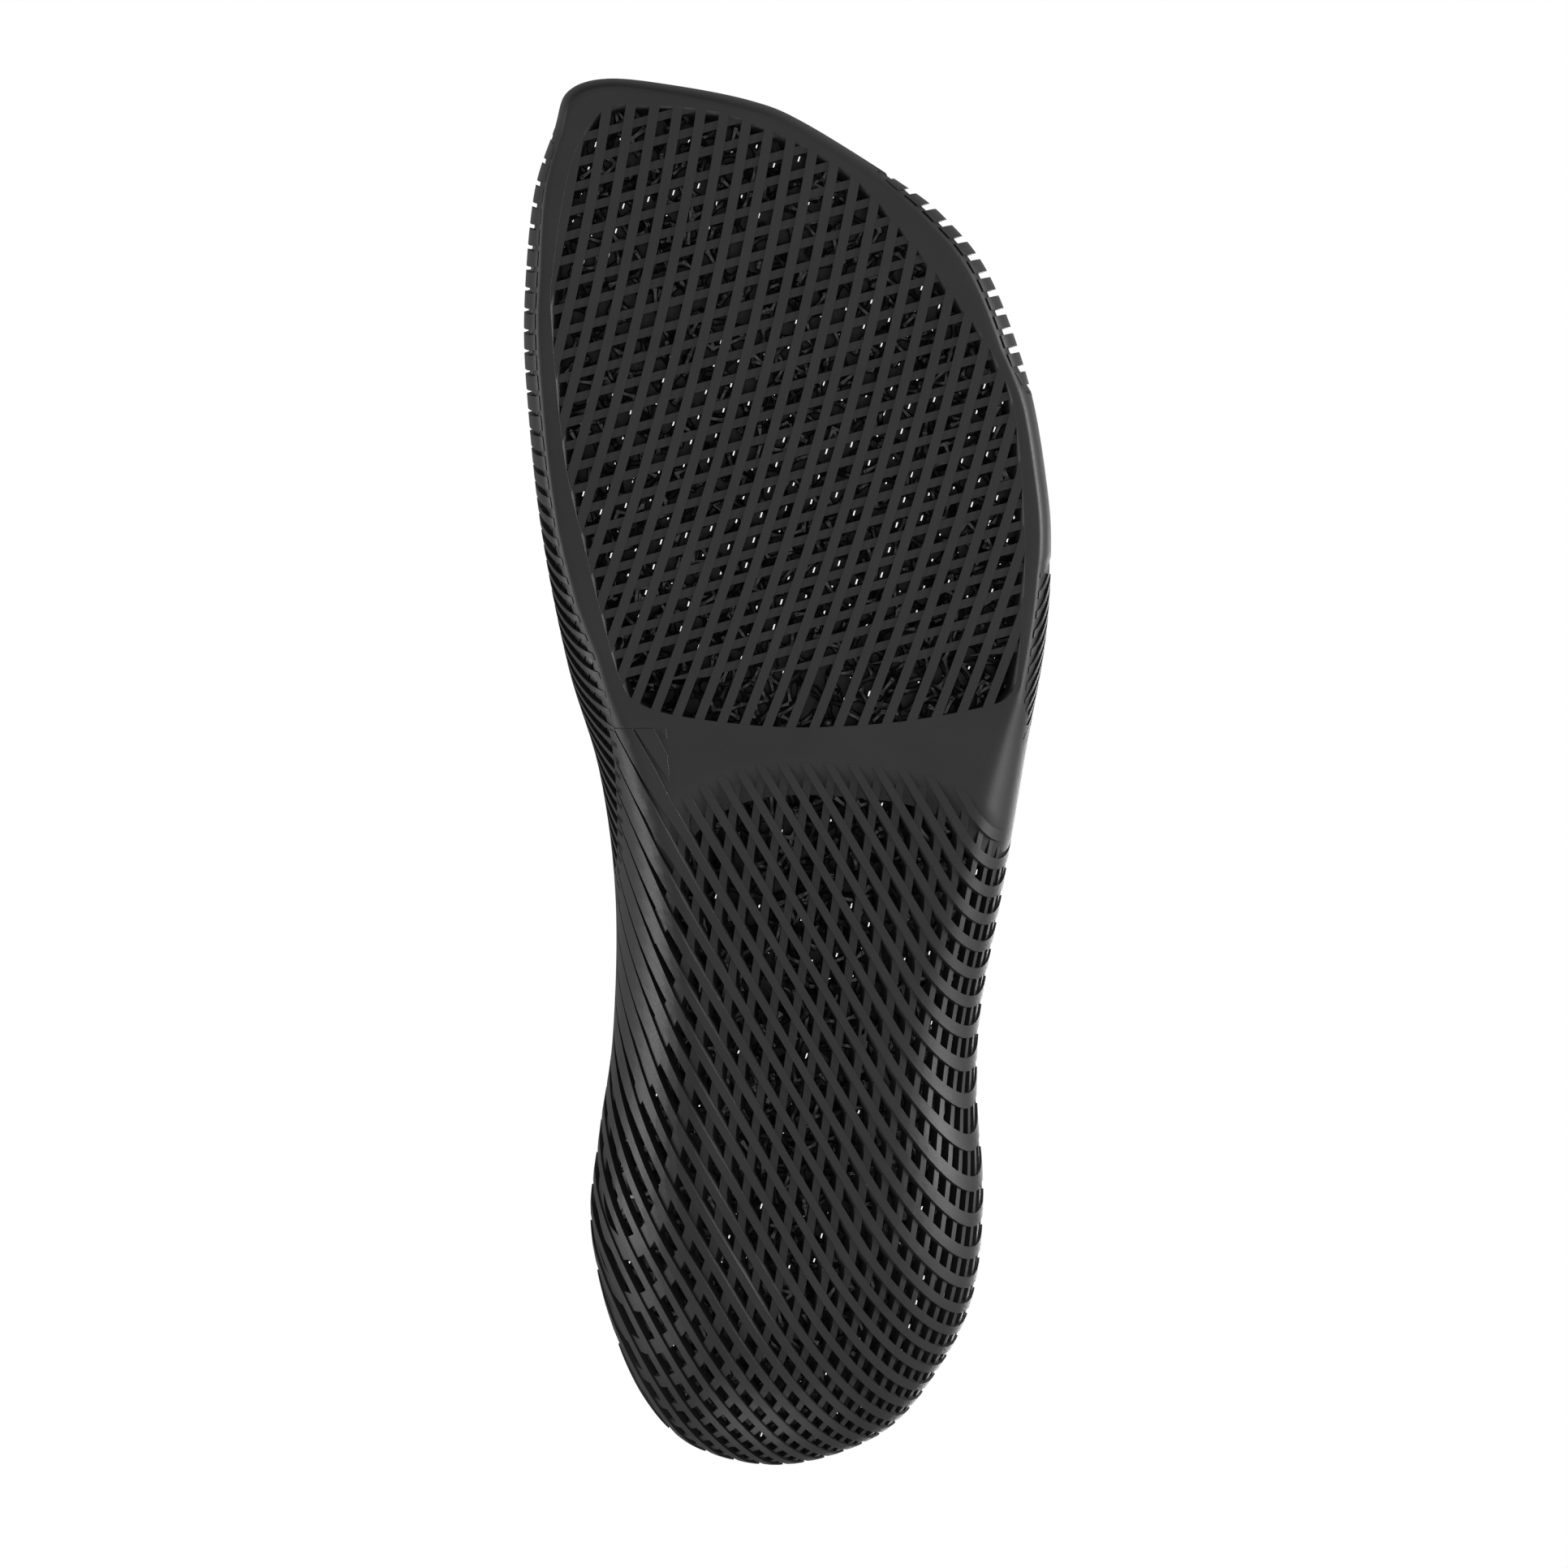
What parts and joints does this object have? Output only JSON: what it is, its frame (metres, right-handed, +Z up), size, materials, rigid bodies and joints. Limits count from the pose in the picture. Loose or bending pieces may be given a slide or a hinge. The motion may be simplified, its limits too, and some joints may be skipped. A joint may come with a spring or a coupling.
{
  "type": "cushioned insole",
  "caption": "Black printed lattice insole for a left shoe, with a strapped sole, a smooth midfoot plate, a cupped heel and an open cushion core.",
  "frame": {"origin": "middle of the sole's box, on the plane that the sole rests on", "axes": "+Z up from the sole to the footbed, +Y from the heel to the toe, +X towards the big toe side"},
  "size_m": [0.1006, 0.2651, 0.027],
  "materials": {
    "printed_skin": "matte",
    "printed_core": "matte"
  },
  "bodies": {
    "root": {"footbed_lower_straps": "printed_skin", "footbed_upper_straps": "printed_skin", "forefoot_cross_straps": "printed_skin", "forefoot_cushion": "printed_core", "forefoot_frame": "printed_skin", "forefoot_long_straps": "printed_skin", "heel_cushion": "printed_core", "heel_inner_straps": "printed_skin", "heel_outer_straps": "printed_skin", "inner_side_ribs": "printed_skin", "midfoot_cushion": "printed_core", "midfoot_plate": "printed_skin", "outer_side_ribs": "printed_skin", "wall_collar": "printed_skin"}
  },
  "joints": []
}
